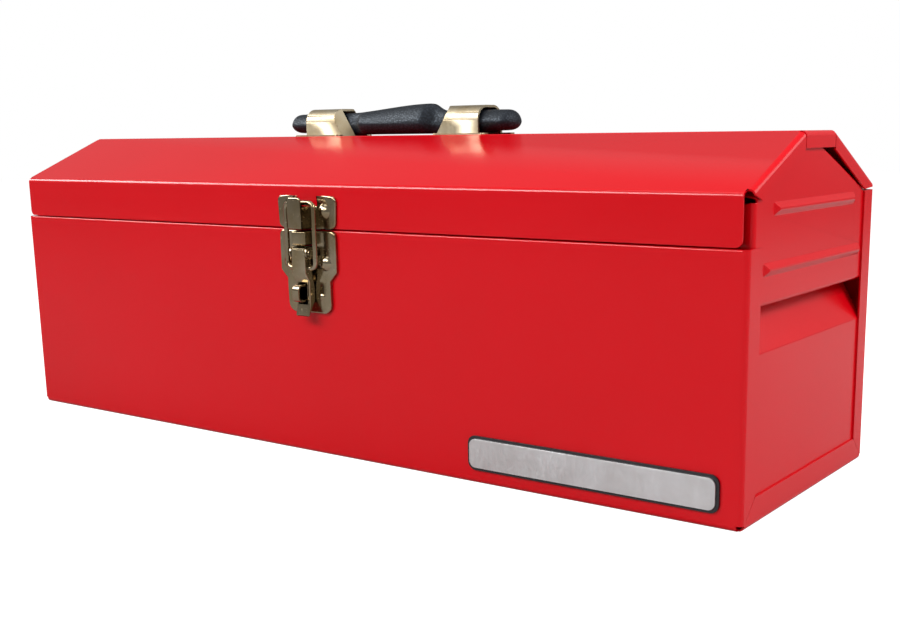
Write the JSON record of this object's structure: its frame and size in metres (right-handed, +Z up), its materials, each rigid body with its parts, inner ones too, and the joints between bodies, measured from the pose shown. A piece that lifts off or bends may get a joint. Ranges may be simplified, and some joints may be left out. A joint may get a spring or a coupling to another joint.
{
  "type": "hip-roof tool box",
  "caption": "Long red steel tool box with a hip-roof lid on a back hinge, a draw latch with a padlock staple, a strap handle on the ridge and a lift-out tray.",
  "frame": {"origin": "middle of the flat base, on the surface that the box stands on", "axes": "+X along the length, to the end nearer the camera; the latched front faces -Y and the hinge is at +Y; +Z up"},
  "size_m": [0.4868, 0.161, 0.1817],
  "materials": {
    "enamel": "gloss red powder coat",
    "plated": "satin nickel plate",
    "steel": "zinc plate",
    "grip": "pebbled moulded plastic",
    "plate_black": "gloss black",
    "plate_bright": "satin"
  },
  "bodies": {
    "box": {"body_shell": "enamel", "end_panel_right": "enamel", "end_panel_left": "enamel", "hinge_leaf_body": "enamel", "hinge_pin": "steel", "latch_base": "plated", "latch_base_rivets": "plated", "latch_fulcrum_pin": "plated", "padlock_staple": "plated", "name_plate_back": "plate_black", "name_plate_face": "plate_bright"},
    "lid": {"lid_shell": "enamel", "hinge_leaf_lid": "enamel", "keeper_plate": "plated", "keeper_rivets": "plated", "handle_bracket_right": "plated", "handle_bracket_left": "plated"},
    "lever": {"latch_lever": "plated"},
    "bail": {"latch_bail": "plated"},
    "handle": {"handle_grip": "grip", "handle_core": "steel"},
    "tray": {"tray_floor": "enamel", "tray_wall_front": "enamel", "tray_wall_back": "enamel", "tray_end_right": "enamel", "tray_end_left": "enamel", "tray_divider_right": "enamel", "tray_divider_left": "enamel", "tray_handle": "steel", "tray_handle_rivets": "steel"}
  },
  "joints": [
    {"name": "lid_hinge", "type": "hinge", "parent": "box", "child": "lid", "pos_m": [0, 0.0747, 0.1372], "axis": [-1, 0, 0], "range_deg": [0, 105]},
    {"name": "lever_swing", "type": "hinge", "parent": "box", "child": "lever", "pos_m": [0, -0.0787, 0.107], "axis": [-1, 0, 0], "range_deg": [0, 110]},
    {"name": "bail_swing", "type": "hinge", "parent": "lever", "child": "bail", "pos_m": [0, -0.0787, 0.0993], "axis": [-1, 0, 0], "range_deg": [-94, 0]},
    {"name": "handle_slide", "type": "slide", "parent": "lid", "child": "handle", "axis": [1, 0, 0], "range_m": [-0.0015, 0.0015]},
    {"name": "tray_lift", "type": "slide", "parent": "box", "child": "tray", "axis": [0, 0, 1], "range_m": [0, 0.006]}
  ],
  "couplings": [
    {"joint": "bail_swing", "follows": "lever_swing", "ratio": -0.85}
  ]
}
